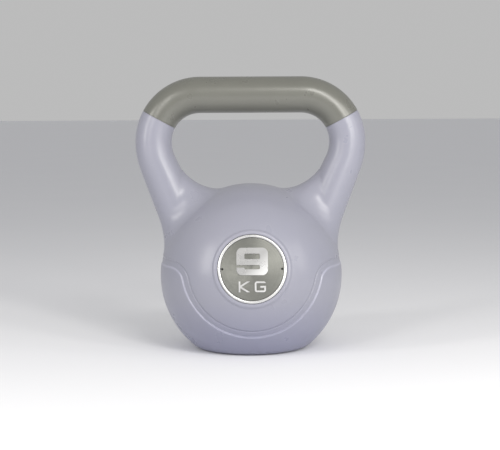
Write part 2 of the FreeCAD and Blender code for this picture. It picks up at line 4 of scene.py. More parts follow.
import bmesh
import bpy
import numpy as np
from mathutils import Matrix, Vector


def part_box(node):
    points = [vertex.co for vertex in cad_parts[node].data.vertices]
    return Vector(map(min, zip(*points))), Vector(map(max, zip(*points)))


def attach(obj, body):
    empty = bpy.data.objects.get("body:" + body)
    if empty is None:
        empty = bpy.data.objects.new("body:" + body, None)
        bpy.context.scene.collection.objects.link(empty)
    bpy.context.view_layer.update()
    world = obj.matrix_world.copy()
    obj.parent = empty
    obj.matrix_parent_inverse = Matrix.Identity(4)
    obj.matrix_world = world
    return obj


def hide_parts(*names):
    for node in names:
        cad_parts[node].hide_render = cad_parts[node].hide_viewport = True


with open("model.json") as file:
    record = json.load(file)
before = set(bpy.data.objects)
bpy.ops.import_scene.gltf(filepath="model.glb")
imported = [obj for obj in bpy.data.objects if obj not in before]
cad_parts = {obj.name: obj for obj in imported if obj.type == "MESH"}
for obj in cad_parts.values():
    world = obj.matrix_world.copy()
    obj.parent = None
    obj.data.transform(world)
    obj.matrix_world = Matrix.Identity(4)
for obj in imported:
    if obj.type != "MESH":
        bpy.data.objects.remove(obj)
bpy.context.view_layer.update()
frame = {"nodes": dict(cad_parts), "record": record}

import openvdb
from mathutils import Matrix, Quaternion, Vector

# The looks of a plastic-skinned kettlebell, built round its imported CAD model.
# Metres, +Z up, origin on the table under the middle of the bell, front badge towards -Y.
# The moulded skin is one formula: a distance from its surface that is meshed, and then
# every point is pulled exactly onto it. The grip, the rings and the plates are swept or
# turned from outlines, and the other pieces are the CAD nodes with their own materials.

MM = 0.001


def length(*parts):
    return np.sqrt(sum(part * part for part in parts))


# ---------------------------------------------------------------- sizes from the frame
shell_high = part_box("shell")[1]
sleeve_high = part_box("grip_sleeve")[1]
rod_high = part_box("handle_rod")[1]
ring_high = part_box("front_badge_ring")[1]
cap_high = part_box("fill_cap")[1]

TUBE = sleeve_high[1]                       # grip and upper leg
BAR_Z = sleeve_high[2] - TUBE               # axis of the bar
RING = ring_high[0]                         # badge ring, outside
RING_HALF = 1.55 * MM                       # half of the ring's width
PLATE = RING - 2.0 * RING_HALF - 0.3 * MM   # grey disc
CAP = cap_high[0]
# the top of the ball is the shell's highest point under the bar
DOME_TOP = max(point.co.z for point in frame["nodes"]["shell"].data.vertices
               if length(point.co.x, point.co.y) < TUBE and point.co.z < BAR_Z - 2.0 * TUBE)

# ------------------------------------------- sizes that a node's box doesn't tell
BOOT_STEP = 0.6 * MM                        # ball of the lower jacket, larger than the upper
BOOT_DROP = 1.4 * MM                        # and lower
BASE_CUT = 19.0 * MM                        # what the flat base takes off it
BELL = (DOME_TOP + BASE_CUT - BOOT_STEP - BOOT_DROP) / 2.0
BOOT = BELL + BOOT_STEP
BOOT_Z = BOOT - BASE_CUT                    # ball centres above the table
BELL_Z = BOOT_Z + BOOT_DROP
BASE_FLAT = 50.0 * MM
HEEL = (BOOT ** 2 - BASE_FLAT ** 2 - BOOT_Z ** 2) / (2.0 * (BOOT - BOOT_Z))

BEND = 49.0 * MM                            # radius of the handle's two bends
BEND_Z = BAR_Z - BEND
BAR_HALF = rod_high[0] - rod_high[1] - BEND
GRIP_END = math.radians(90.0 - 28.7)        # the sleeve stops here, round the bend
GRIP_HALF = BAR_HALF + BEND * GRIP_END
SLEEVE_WALL = 2.5 * MM
LEAN = math.radians(23.2)
LEAN_RADIUS = BEND / 2.0 / math.sin(LEAN)
LEAN_ARC = LEAN_RADIUS * LEAN
TAPER = math.tan(math.radians(2.9))
CROTCH = 36.0 * MM                          # leg to ball, on the side of the hand
HIP = 46.0 * MM                             # leg to ball, on the outside
VALLEY = 20.0 * MM                          # leg to ball, front and rear

WINDOW = BELL - 30.4 * MM                   # round part of the U-shaped step
WINDOW_Z = BELL_Z + 15.6 * MM
SHOULDER = WINDOW_Z + 3.5 * MM              # level part of the step
SHOULDER_TURN = 20.0 * MM
CHANNEL = 6.5 * MM                          # between the U and the jacket's rim
CHANNEL_DEPTH = 0.4 * MM
GROOVE_DEPTH = 0.5 * MM                     # fine groove along the channel's inner edge
GROOVE_START = 1.0 * MM                     # it sets in that far inside the U
GROOVE_INNER = 1.4 * MM                     # width of its two walls
GROOVE_OUTER = 1.2 * MM
GROOVE_END = 1.6 * MM                       # and ends that far outside the U
BELOW_U = WINDOW_Z - WINDOW - 2.0 * CHANNEL
BOOT_EDGE = 1.6 * MM
JACKET_FILLET = 0.8 * MM

TILT = math.radians(9.5)                    # badge axis above level
SEAT = RING + 0.3 * MM
SEAT_DEPTH = 3.0 * MM
LIP = 1.9 * MM
LIP_RISE = 0.6 * MM
LIP_FILLET = 1.6 * MM

HOLE = CAP - 4.0 * MM                       # filling hole under the cap
CAP_SEAT = CAP + 0.4 * MM
CAP_DEPTH = 2.5 * MM

SEAM_ROUND = 0.5 * MM                       # rounding on both sides of the grip's seam

# -------------------------------------------------------------------------- formula


def smooth(value):
    value = np.clip(value, 0.0, 1.0)
    return value * value * (3.0 - 2.0 * value)


def soft_union(first, second, radius):
    """Two forms joined with a hollow fillet."""
    a = radius - first
    b = radius - second
    return np.where((a > 0) & (b > 0), radius - np.sqrt(a * a + b * b), np.minimum(first, second))


def soft_overlap(first, second, radius):
    """What two forms share, with a rounded edge."""
    a = first + radius
    b = second + radius
    return np.where((a > 0) & (b > 0), np.sqrt(a * a + b * b) - radius, np.maximum(first, second))


def handle(x, y, z):
    """Distance from bar, bends and legs, the direction away from their axis, and how far
    that direction turns towards the hand, from -1 to 1."""
    x = np.abs(x)
    lean_x = BAR_HALF + BEND - LEAN_RADIUS
    end_x = lean_x + LEAN_RADIUS * math.cos(LEAN)
    end_z = BEND_Z - BEND / 2.0
    down_x = -math.sin(LEAN)
    down_z = -math.cos(LEAN)
    run = (x - end_x) * down_x + (z - end_z) * down_z
    high = z >= BEND_Z
    on_bar = high & (x < BAR_HALF)
    on_bend = high & ~on_bar
    on_line = ~high & (run > 0)
    on_lean = ~high & ~on_line
    # the nearest point of the axis
    near_x = np.where(on_bar, x, 0.0)
    near_z = np.where(on_bar, BAR_Z, 0.0)
    from_turn = length(x - BAR_HALF, z - BEND_Z) + 1e-12
    near_x = np.where(on_bend, BAR_HALF + (x - BAR_HALF) * BEND / from_turn, near_x)
    near_z = np.where(on_bend, BEND_Z + (z - BEND_Z) * BEND / from_turn, near_z)
    from_turn = length(x - lean_x, z - BEND_Z) + 1e-12
    near_x = np.where(on_lean, lean_x + (x - lean_x) * LEAN_RADIUS / from_turn, near_x)
    near_z = np.where(on_lean, BEND_Z + (z - BEND_Z) * LEAN_RADIUS / from_turn, near_z)
    near_x = np.where(on_line, end_x + run * down_x, near_x)
    near_z = np.where(on_line, end_z + run * down_z, near_z)
    # the taper sets in round the lean and goes on down the straight
    turned = np.arcsin(np.clip((BEND_Z - near_z) / LEAN_RADIUS, 0.0, 1.0)) * LEAN_RADIUS
    swell = np.where(on_lean, TAPER * turned ** 2 / (2.0 * LEAN_ARC), 0.0)
    swell = np.where(on_line, TAPER * (LEAN_ARC / 2.0 + run), swell)
    away_x = x - near_x
    away_z = z - near_z
    away = length(away_x, y, away_z) + 1e-12
    towards_hand = (-away_x * math.cos(LEAN) + away_z * math.sin(LEAN)) / away
    return away - TUBE - swell, away_x / away, y / away, away_z / away, towards_hand


def upper_body(x, y, z):
    """Ball and handle. Below the bends a ball rolled into the corner between them leaves
    a fillet, wide in the outline and tighter front and rear."""
    from_ball = length(x, y, z - BELL_Z) + 1e-12
    ball = from_ball - BELL
    leg, away_x, away_y, away_z, towards_hand = handle(x, y, z)
    meet = (np.abs(x) * away_x + y * away_y + (z - BELL_Z) * away_z) / from_ball
    meet = np.clip(meet, -0.95, 0.95)
    beside = np.where(towards_hand > 0, CROTCH, HIP)
    radius = VALLEY + (beside - VALLEY) * towards_hand ** 2
    a = radius - ball
    b = radius - leg
    reach = np.sqrt(np.maximum(a * a + b * b - 2.0 * meet * a * b, 0.0) / (1.0 - meet * meet))
    in_fillet = (z < BEND_Z) & (a > 0) & (b > 0) & (a - meet * b > 0) & (b - meet * a > 0)
    return np.where(in_fillet, radius - reach, np.minimum(ball, leg))


def outside_window(x, z):
    """Distance out of the U, seen from the front: a round bottom, a turn at each
    shoulder, and everything above the shoulders inside."""
    x = np.abs(x)
    turn_z = SHOULDER - SHOULDER_TURN
    drop = WINDOW_Z - turn_z
    turn_x = math.sqrt((WINDOW + SHOULDER_TURN) ** 2 - drop ** 2)
    plain = np.minimum(length(x, z - WINDOW_Z) - WINDOW, SHOULDER - z)
    in_turn = (x < turn_x) & ((x - turn_x) * drop + (z - turn_z) * turn_x > 0)
    return np.where(in_turn, SHOULDER_TURN - length(x - turn_x, z - turn_z), plain)


def boot(x, y, z):
    """Lower jacket, turned about Z: a flat base, a heel curve and a ball."""
    out = length(x, y)
    ball = length(out, z - BOOT_Z) - BOOT
    heel = length(out - BASE_FLAT, z - HEEL) - HEEL
    on_heel = (out > BASE_FLAT) & ((out - BASE_FLAT) * (HEEL - BOOT_Z) > (z - HEEL) * BASE_FLAT)
    on_base = (out <= BASE_FLAT) & (z < HEEL)
    return np.where(on_heel, heel, np.where(on_base, -z, ball))


def badge_bead(x, y, z):
    """The rolled lip round each badge seat, the same front and rear."""
    up = z - BELL_Z
    along = np.abs(y) * math.cos(TILT) + up * math.sin(TILT)
    across = np.sqrt(np.maximum(x * x + y * y + up * up - along * along, 0.0))
    circle = SEAT + LIP
    middle = math.sqrt(BELL ** 2 - circle ** 2) - LIP + LIP_RISE
    return length(across - circle, along - middle) - LIP


def skin_distance(x, y, z):
    """Distance from the moulded skin, near it, below zero inside."""
    out = outside_window(x, z)
    in_channel = smooth((out + GROOVE_START) / GROOVE_INNER)
    groove = in_channel * smooth((GROOVE_END - out) / GROOVE_OUTER)
    form = upper_body(x, y, z) + CHANNEL_DEPTH * in_channel + GROOVE_DEPTH * groove
    # below the U the jacket is whole, so the ball stops inside it
    form = np.maximum(form, BELOW_U - z)
    jacket = soft_overlap(boot(x, y, z), CHANNEL - out, BOOT_EDGE)
    form = soft_union(form, jacket, JACKET_FILLET)
    form = soft_union(form, badge_bead(x, y, z), LIP_FILLET)
    return np.maximum(form, -z)


def skin_slope(points):
    """Slope of the distance, which points straight out of the skin."""
    x, y, z = points.T
    step = 0.02 * MM
    slope = (skin_distance(x + step, y, z) - skin_distance(x - step, y, z),
             skin_distance(x, y + step, z) - skin_distance(x, y - step, z),
             skin_distance(x, y, z + step) - skin_distance(x, y, z - step))
    return np.stack(slope, axis=1) / (2.0 * step)


def settle(points, rounds=3):
    """Pulls points onto the skin, following the slope."""
    for _ in range(rounds):
        slope = skin_slope(points)
        steep = np.maximum((slope * slope).sum(axis=1), 0.2)
        move = np.clip(skin_distance(*points.T) / steep, -1.5 * MM, 1.5 * MM)
        points = points - slope * move[:, None]
    return points


# --------------------------------------------------------------------------- meshes


def points_of(mesh):
    points = np.empty(len(mesh.vertices) * 3)
    mesh.vertices.foreach_get("co", points)
    return points.reshape(-1, 3)


def new_piece(name, mesh):
    piece = bpy.data.objects.new(name, mesh)
    bpy.context.scene.collection.objects.link(piece)
    return piece


def applied(piece):
    """The piece's mesh with its modifiers applied; the piece itself goes."""
    graph = bpy.context.evaluated_depsgraph_get()
    mesh = bpy.data.meshes.new_from_object(piece.evaluated_get(graph))
    bpy.data.objects.remove(piece, do_unlink=True)
    return mesh


def skin_mesh():
    """Four-sided faces about 1 mm across, every corner on the formula's surface."""
    step = 2.0 * MM
    margin = 4.0 * step
    low = np.array([-shell_high[0] - margin, -BOOT - margin, -margin])
    counts = np.ceil((np.array([-low[0], -low[1], sleeve_high[2] + margin]) - low) / step).astype(int)
    # an even count on each side of the middle keeps the mesh the same left and right
    low[:2] = -step * np.ceil(-low[:2] / step)
    axes = [low[side] + step * np.arange(counts[side] + 1) for side in range(3)]
    grid = np.meshgrid(*axes, indexing="ij")
    field = skin_distance(*(axis.ravel() for axis in grid)).reshape(grid[0].shape)
    volume = openvdb.FloatGrid(3.0 * step)
    volume.copyFromArray(np.clip(field, -3.0 * step, 3.0 * step).astype(np.float32))
    corners, quads = volume.convertToQuads(0.0)
    coarse = bpy.data.meshes.new("coarse_skin")
    coarse.from_pydata(settle(corners * step + low).tolist(), [], quads.tolist())
    piece = new_piece("coarse_skin", coarse)
    piece.modifiers.new("finer", "SUBSURF").levels = 1
    mesh = applied(piece)
    mesh.vertices.foreach_set("co", settle(points_of(mesh)).ravel())
    return mesh


def ring_mesh(name, rings, closed=True):
    """Joins rings of as many points each: the last to the first, or with a flat cap at
    each end."""
    count = len(rings)
    around = len(rings[0])
    faces = []
    for ring in range(count if closed else count - 1):
        after = (ring + 1) % count
        for spot in range(around):
            beside = (spot + 1) % around
            faces.append((ring * around + spot, ring * around + beside,
                          after * around + beside, after * around + spot))
    if not closed:
        faces.append(tuple(range(around))[::-1])
        faces.append(tuple(range((count - 1) * around, count * around)))
    mesh = bpy.data.meshes.new(name)
    mesh.from_pydata([point for ring in rings for point in ring], [], faces)
    work = bmesh.new()
    work.from_mesh(mesh)
    bmesh.ops.recalc_face_normals(work, faces=work.faces)
    work.to_mesh(mesh)
    work.free()
    mesh.shade_smooth()
    return mesh


def swept(name, outline, around=144):
    """A tube along bar and bends. Each outline point is how far along from the middle of
    the bar, and how far from its axis."""
    rings = []
    for along, radius in outline:
        side = math.copysign(1.0, along)
        angle = max(abs(along) - BAR_HALF, 0.0) / BEND
        middle = Vector((min(abs(along), BAR_HALF) * side, 0.0, BEND_Z))
        out = Vector((side * math.sin(angle), 0.0, math.cos(angle)))
        ring = []
        for spot in range(around):
            turn = 2.0 * math.pi * spot / around
            ring.append(middle + out * (BEND + radius * math.cos(turn))
                        + Vector((0.0, radius * math.sin(turn), 0.0)))
        rings.append(ring)
    return ring_mesh(name, rings)


def both_ends(right_end, spacing=2.0 * MM):
    """A closed outline for swept(): from the points at the right end, in order from outside
    to inside, it adds the left end and the even steps between them."""
    outline = list(right_end)
    for start, stop in ((right_end[-1], -1), (right_end[0], 1)):
        reach = start[0]
        steps = int(2.0 * reach / spacing)
        run = [(reach - 2.0 * reach * step / steps, start[1]) for step in range(1, steps)]
        if stop == -1:
            outline += run
            outline += [(-along, radius) for along, radius in reversed(right_end)]
        else:
            outline += run[::-1]
    return outline


def arc(middle, radius, start, stop, steps):
    """Points of a round corner, from one angle to another, in degrees."""
    points = []
    for step in range(steps + 1):
        angle = math.radians(start + (stop - start) * step / steps)
        points.append((middle[0] + radius * math.cos(angle), middle[1] + radius * math.sin(angle)))
    return points


def turned(name, outline, place, closed=True, around=256):
    """An outline of (radius, height), turned about the badge axis or the upright one."""
    rings = []
    for radius, height in outline:
        rings.append([place @ Vector((radius * math.cos(2.0 * math.pi * spot / around),
                                      radius * math.sin(2.0 * math.pi * spot / around), height))
                      for spot in range(around)])
    return ring_mesh(name, rings, closed)


def badge_place(side, out):
    """Local z along the badge axis and local y up, at a distance from the ball centre."""
    turn = Matrix.Rotation(math.pi if side == "rear" else 0.0, 4, "Z")
    lift = Matrix.Translation((0.0, 0.0, BELL_Z))
    tip = Matrix.Rotation(math.pi / 2.0 - TILT, 4, "X")
    return lift @ turn @ tip @ Matrix.Translation((0.0, 0.0, out))


SEAT_FLOOR = math.sqrt(BELL ** 2 - SEAT ** 2) - SEAT_DEPTH


def cutter():
    """What is taken off the skin: two badge seats, the cap's recess and hole, and the
    space of the grip round its core, with a rounded edge at each seam."""
    parts = []
    for side in ("front", "rear"):
        parts.append(turned(side + "_seat", [(SEAT, 0.0), (SEAT, 20.0 * MM)],
                            badge_place(side, SEAT_FLOOR), closed=False))
    hole = [(CAP_SEAT, -5.0 * MM), (CAP_SEAT, CAP_DEPTH), (HOLE, CAP_DEPTH), (HOLE, cap_high[2])]
    parts.append(turned("cap_space", hole, Matrix.Identity(4), closed=False))
    # the edge's arc runs from the seam to just short of the skin
    edge = arc((GRIP_HALF + SEAM_ROUND, TUBE - SEAM_ROUND), SEAM_ROUND, 180.0, 100.0, 6)
    end = [(edge[-1][0], TUBE + 2.0 * MM)] + edge[::-1] + [(GRIP_HALF, TUBE - SLEEVE_WALL)]
    parts.append(swept("grip_space", both_ends(end, spacing=3.0 * MM)))
    work = bmesh.new()
    for part in parts:
        work.from_mesh(part)
    mesh = bpy.data.meshes.new("cutter")
    work.to_mesh(mesh)
    work.free()
    return mesh


def moulded_skin():
    """The whole skin, cut, with the formula's own direction at every point of it."""
    mesh = skin_mesh()
    tool = cutter()
    mesh.materials.append(bpy.data.materials.new("kept"))
    tool.materials.append(bpy.data.materials.new("cut"))
    piece = new_piece("skin_work", mesh)
    tool_piece = new_piece("cutter", tool)
    cut = piece.modifiers.new("cut", "BOOLEAN")
    cut.solver = "MANIFOLD"
    cut.material_mode = "TRANSFER"
    cut.object = tool_piece
    mesh = applied(piece)
    bpy.data.objects.remove(tool_piece, do_unlink=True)
    mesh.shade_smooth()
    mesh.set_sharp_from_angle(angle=math.radians(30.0))
    normals = np.empty(len(mesh.loops) * 3)
    mesh.corner_normals.foreach_get("vector", normals)
    normals = normals.reshape(-1, 3)
    slope = skin_slope(points_of(mesh))
    slope /= length(*slope.T)[:, None] + 1e-12
    corner_point = np.empty(len(mesh.loops), dtype=int)
    mesh.loops.foreach_get("vertex_index", corner_point)
    corners_of_face = np.empty(len(mesh.polygons), dtype=int)
    mesh.polygons.foreach_get("loop_total", corners_of_face)
    material = np.empty(len(mesh.polygons), dtype=int)
    mesh.polygons.foreach_get("material_index", material)
    on_skin = np.repeat(material == 0, corners_of_face)
    normals[on_skin] = slope[corner_point[on_skin]]
    mesh.normals_split_custom_set(normals.tolist())
    mesh.polygons.foreach_set("material_index", np.zeros(len(mesh.polygons), dtype=int))
    mesh.materials.clear()
    return mesh


def rim_attribute(mesh):
    """How close each point is to the jacket's rim, from 0 to 1, for the painted highlight along its
    crest.
    """
    points = points_of(mesh)
    x, y, z = points.T
    from_rim = np.abs(outside_window(x, z) - CHANNEL - 0.4 * BOOT_EDGE)
    proud = boot(x, y, z) > -1.2 * MM
    near = smooth(1.0 - from_rim / (1.6 * MM)) * proud * (z > 4.0 * MM)
    mesh.attributes.new("rim", "FLOAT", "POINT").data.foreach_set("value", near)


# ------------------------------------------------------------------------ materials


def new_material(name):
    """A material with one Principled shader; returns it, its tree and the shader."""
    material = bpy.data.materials.new(name)
    material.use_nodes = True
    tree = material.node_tree
    tree.nodes.clear()
    output = tree.nodes.new("ShaderNodeOutputMaterial")
    shader = tree.nodes.new("ShaderNodeBsdfPrincipled")
    tree.links.new(shader.outputs["BSDF"], output.inputs["Surface"])
    return material, tree, shader


def put(tree, socket, value):
    """Links a socket, or sets it where the value is a plain number or colour."""
    if isinstance(value, bpy.types.NodeSocket):
        tree.links.new(value, socket)
    else:
        socket.default_value = value


def place_of(tree):
    return tree.nodes.new("ShaderNodeTexCoord").outputs["Object"]


def noise(tree, scale, detail=2.0, stretch=None):
    """Soft noise with that many cells in a metre."""
    node = tree.nodes.new("ShaderNodeTexNoise")
    node.inputs["Scale"].default_value = scale
    node.inputs["Detail"].default_value = detail
    where = place_of(tree)
    if stretch:
        mapping = tree.nodes.new("ShaderNodeMapping")
        mapping.inputs["Scale"].default_value = stretch
        tree.links.new(where, mapping.inputs["Vector"])
        where = mapping.outputs["Vector"]
    tree.links.new(where, node.inputs["Vector"])
    return node.outputs["Fac"]


def spread(tree, value, low, high, to_low, to_high):
    """Maps a value from one range to another, and stops at its ends."""
    node = tree.nodes.new("ShaderNodeMapRange")
    put(tree, node.inputs["Value"], value)
    for key, number in (("From Min", low), ("From Max", high),
                        ("To Min", to_low), ("To Max", to_high)):
        node.inputs[key].default_value = number
    return node.outputs["Result"]


def maths(tree, operation, first, second=0.0):
    node = tree.nodes.new("ShaderNodeMath")
    node.operation = operation
    put(tree, node.inputs[0], first)
    put(tree, node.inputs[1], second)
    return node.outputs[0]


def blend(tree, share, first, second):
    """A colour between two."""
    node = tree.nodes.new("ShaderNodeMix")
    node.data_type = "RGBA"
    put(tree, node.inputs["Factor"], share)
    colours = [socket for socket in node.inputs if socket.type == "RGBA"]
    for socket, value in zip(colours, (first, second)):
        put(tree, socket, value)
    return [socket for socket in node.outputs if socket.type == "RGBA"][0]


def bump(tree, height, distance, strength=1.0, under=None):
    """Tilts the surface by a height, which counts as that many metres."""
    node = tree.nodes.new("ShaderNodeBump")
    node.inputs["Strength"].default_value = strength
    node.inputs["Distance"].default_value = distance
    tree.links.new(height, node.inputs["Height"])
    if under:
        tree.links.new(under, node.inputs["Normal"])
    return node.outputs["Normal"]


def tone(colour, factor):
    """The same colour, lighter or darker."""
    return tuple(channel * factor for channel in colour[:3]) + (1.0,)


def slot_colour(slot):
    """The base colour that the record gives a material slot."""
    entry = [item for item in frame["record"]["materials"] if item["slot"] == slot][0]
    return tuple(entry["base_color"]) + (1.0,)


def skin_plastic():
    """Satin lilac plastic: faint mottle, fine grain, a parting line round the sides, a painted
    highlight along the rim, scuffs at the foot, and painted shade, less red and green, over the
    lowest 60 mm."""
    material, tree, shader = new_material("skin_plastic")
    lilac = slot_colour("skin_plastic")
    bluer = (0.905 * lilac[0], 0.92 * lilac[1], 0.9 * lilac[2], 1.0)
    warmer = (0.965 * lilac[0], 0.955 * lilac[1], 0.91 * lilac[2], 1.0)
    colour = blend(tree, noise(tree, 14.0), bluer, warmer)
    colour = blend(tree, spread(tree, noise(tree, 700.0), 0.35, 0.65, 0.0, 0.5),
                   colour, tone(lilac, 0.93))
    # painted highlight: the skin turns lighter along the jacket's rim, where its rounded crest
    # catches the light
    rim = tree.nodes.new("ShaderNodeAttribute")
    rim.attribute_name = "rim"
    painted_rim_highlight = maths(tree, "MULTIPLY", rim.outputs["Fac"],
                     spread(tree, noise(tree, 60.0), 0.3, 0.7, 0.5, 0.9))
    colour = blend(tree, painted_rim_highlight, colour, tone(lilac, 1.35))
    axes = tree.nodes.new("ShaderNodeSeparateXYZ")
    tree.links.new(place_of(tree), axes.inputs[0])
    # painted shade: the colour darkens and turns bluer over the lowest 60 mm, towards the foot
    painted_foot_shade = (0.8 * lilac[0], 0.81 * lilac[1], 0.91 * lilac[2], 1.0)
    colour = blend(tree, spread(tree, axes.outputs["Z"], 5.0 * MM, 60.0 * MM, 1.0, 0.0),
                   colour, painted_foot_shade)
    low = spread(tree, axes.outputs["Z"], 1.0 * MM, 9.0 * MM, 1.0, 0.0)
    scuff = maths(tree, "MULTIPLY", low, spread(tree, noise(tree, 220.0, 4.0), 0.5, 0.62, 0.0, 1.0))
    colour = blend(tree, maths(tree, "MULTIPLY", scuff, 0.45), colour, tone(lilac, 0.62))
    tree.links.new(colour, shader.inputs["Base Color"])
    rough = spread(tree, noise(tree, 45.0, 3.0), 0.3, 0.7, 0.27, 0.33)
    rough = maths(tree, "ADD", rough, maths(tree, "MULTIPLY", scuff, 0.2))
    tree.links.new(rough, shader.inputs["Roughness"])
    line = spread(tree, maths(tree, "ABSOLUTE", axes.outputs["Y"]), 0.1 * MM, 0.45 * MM, 1.0, 0.0)
    surface = bump(tree, noise(tree, 110.0, 1.0), 0.25 * MM, 0.12)
    surface = bump(tree, noise(tree, 2600.0, 2.0), 0.04 * MM, 0.16, surface)
    surface = bump(tree, line, 0.12 * MM, 0.6, surface)
    tree.links.new(surface, shader.inputs["Normal"])
    shader.inputs["IOR"].default_value = 1.5
    return material


def grip_rubber():
    """Soft grey rubber: faint mottle, a satin shine and a fine pebbled grain."""
    material, tree, shader = new_material("grip_rubber")
    grey = slot_colour("grip_rubber")
    colour = blend(tree, noise(tree, 30.0, 3.0), tone(grey, 0.92), tone(grey, 1.04))
    colour = blend(tree, spread(tree, noise(tree, 900.0, 2.0), 0.4, 0.62, 0.0, 0.5),
                   colour, tone(grey, 1.06))
    tree.links.new(colour, shader.inputs["Base Color"])
    shader.inputs["IOR"].default_value = 1.65
    rough = spread(tree, noise(tree, 60.0, 3.0), 0.35, 0.65, 0.27, 0.32)
    tree.links.new(rough, shader.inputs["Roughness"])
    surface = bump(tree, noise(tree, 200.0, 1.0), 0.1 * MM, 0.08)
    surface = bump(tree, noise(tree, 2200.0, 2.0), 0.04 * MM, 0.2, surface)
    tree.links.new(surface, shader.inputs["Normal"])
    return material


def plate_grey(side):
    """Grey disc with a metallic lacquer, brushed round and round, so that it shines in
    wedges to the left and right; a fine grain lies over the rings."""
    material, tree, shader = new_material(side + "_plate_grey")
    grey = slot_colour("plate_grey")
    centre = badge_place(side, SEAT_FLOOR)
    inverse = centre.inverted()
    flat = []
    for row in range(2):
        dot = tree.nodes.new("ShaderNodeVectorMath")
        dot.operation = "DOT_PRODUCT"
        tree.links.new(place_of(tree), dot.inputs[0])
        dot.inputs[1].default_value = tuple(inverse[row][:3])
        shifted = maths(tree, "ADD", dot.outputs["Value"], inverse[row][3])
        flat.append(maths(tree, "MULTIPLY", shifted, shifted))
    radius = maths(tree, "SQRT", maths(tree, "ADD", flat[0], flat[1]))
    rings = tree.nodes.new("ShaderNodeTexNoise")
    rings.noise_dimensions = "1D"
    rings.inputs["Scale"].default_value = 1500.0
    rings.inputs["Detail"].default_value = 2.0
    tree.links.new(radius, rings.inputs["W"])
    brushed = rings.outputs["Fac"]
    colour = blend(tree, spread(tree, brushed, 0.35, 0.65, 0.0, 1.0),
                   tone(grey, 0.84), tone(grey, 0.98))
    colour = blend(tree, spread(tree, noise(tree, 1600.0, 1.0), 0.42, 0.58, 0.0, 0.6),
                   colour, tone(grey, 0.8))
    tree.links.new(colour, shader.inputs["Base Color"])
    rough = spread(tree, noise(tree, 300.0, 3.0), 0.35, 0.65, 0.34, 0.42)
    tree.links.new(rough, shader.inputs["Roughness"])
    shader.inputs["Metallic"].default_value = 0.7
    shader.inputs["Anisotropic"].default_value = 0.7
    shader.inputs["Anisotropic Rotation"].default_value = 0.25
    round_it = tree.nodes.new("ShaderNodeTangent")
    round_it.direction_type = "RADIAL"
    round_it.axis = "Y"
    tree.links.new(round_it.outputs["Tangent"], shader.inputs["Tangent"])
    surface = bump(tree, brushed, 0.03 * MM, 0.3)
    surface = bump(tree, noise(tree, 1600.0, 1.0), 0.04 * MM, 0.4, surface)
    tree.links.new(surface, shader.inputs["Normal"])
    return material


def bright_metal(name, slot, rough_low, rough_high, metallic, painted_shade_tone, bright=1.0):
    """Plating or foil that shines like metal, with a faint grain and haze. A painted reflection
    runs across its colour, from darker at the top and the left seen from the front, to bright."""
    material, tree, shader = new_material(name)
    silver = slot_colour(slot)
    shader.inputs["Metallic"].default_value = metallic
    axes = tree.nodes.new("ShaderNodeSeparateXYZ")
    tree.links.new(place_of(tree), axes.inputs[0])
    # painted reflection: the colour lightens from the upper left towards the lower right
    down = maths(tree, "SUBTRACT", axes.outputs["X"], axes.outputs["Z"])
    share = spread(tree, down, -BELL_Z - 0.6 * PLATE, -BELL_Z + 0.3 * PLATE, 0.0, 1.0)
    share = maths(tree, "MULTIPLY", share, spread(tree, noise(tree, 60.0, 2.0), 0.3, 0.7, 0.88, 1.0))
    tree.links.new(blend(tree, share, tone(silver, painted_shade_tone), tone(silver, bright)),
                   shader.inputs["Base Color"])
    haze = spread(tree, noise(tree, 90.0, 2.0), 0.35, 0.7, rough_low, rough_high)
    tree.links.new(haze, shader.inputs["Roughness"])
    grain = noise(tree, 3000.0, 2.0)
    tree.links.new(bump(tree, grain, 0.01 * MM, 0.15), shader.inputs["Normal"])
    return material


def plain_grained(name, slot, rough, grain, depth, variation):
    """Hidden or sheltered pieces: colour that varies, and a grain of that many cells
    in a metre."""
    material, tree, shader = new_material(name)
    base = slot_colour(slot)
    colour = blend(tree, noise(tree, grain / 8.0, 4.0), tone(base, 1.0 - variation),
                   tone(base, 1.0 + variation))
    tree.links.new(colour, shader.inputs["Base Color"])
    tree.links.new(spread(tree, noise(tree, grain / 3.0, 3.0), 0.3, 0.7, rough - 0.06, rough + 0.06),
                   shader.inputs["Roughness"])
    tree.links.new(bump(tree, noise(tree, grain, 3.0), depth, 0.6), shader.inputs["Normal"])
    return material, shader


def pale_floor():
    """Matt white paper."""
    material, tree, shader = new_material("studio_floor")
    tree.links.new(blend(tree, noise(tree, 3.0), (0.82, 0.825, 0.86, 1.0), (0.84, 0.845, 0.875, 1.0)),
                   shader.inputs["Base Color"])
    shader.inputs["Roughness"].default_value = 0.9
    shader.inputs["Specular IOR Level"].default_value = 0.2
    return material


# --------------------------------------------------------------------------- pieces


def finish_piece(piece, node, material):
    """The piece stands for a CAD node, rides with it and wears its slot's material."""
    piece.data.materials.clear()
    piece.data.materials.append(material)
    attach(piece, "root")
    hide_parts(node)


def wear_material(node, material):
    """A CAD node that stays gets its material in every slot."""
    item = frame["nodes"][node]
    if not item.material_slots:
        item.data.materials.append(material)
    for slot in item.material_slots:
        slot.material = material


def grip_piece():
    """The soft sleeve, with a rounded edge at each seam."""
    edge = arc((GRIP_HALF - SEAM_ROUND, TUBE - SEAM_ROUND), SEAM_ROUND, 90.0, 0.0, 6)
    end = edge + [(GRIP_HALF, TUBE - SLEEVE_WALL + 0.05 * MM)]
    return new_piece("grip", swept("grip", both_ends(end, spacing=1.5 * MM)))


def ring_piece(side):
    """The bright ring: a crowned top, an upright bore and an outer wall."""
    height = 3.1 * MM
    crown = 1.1 * MM
    low = 0.1 * MM
    outline = [(RING - 2.0 * RING_HALF, low), (RING, low)]
    for along, up in arc((0.0, 0.0), 1.0, 0.0, 180.0, 24):
        outline.append((RING - RING_HALF + RING_HALF * along, height - crown + crown * up))
    return new_piece(side + "_ring", turned(side + "_ring", outline, badge_place(side, SEAT_FLOOR)))


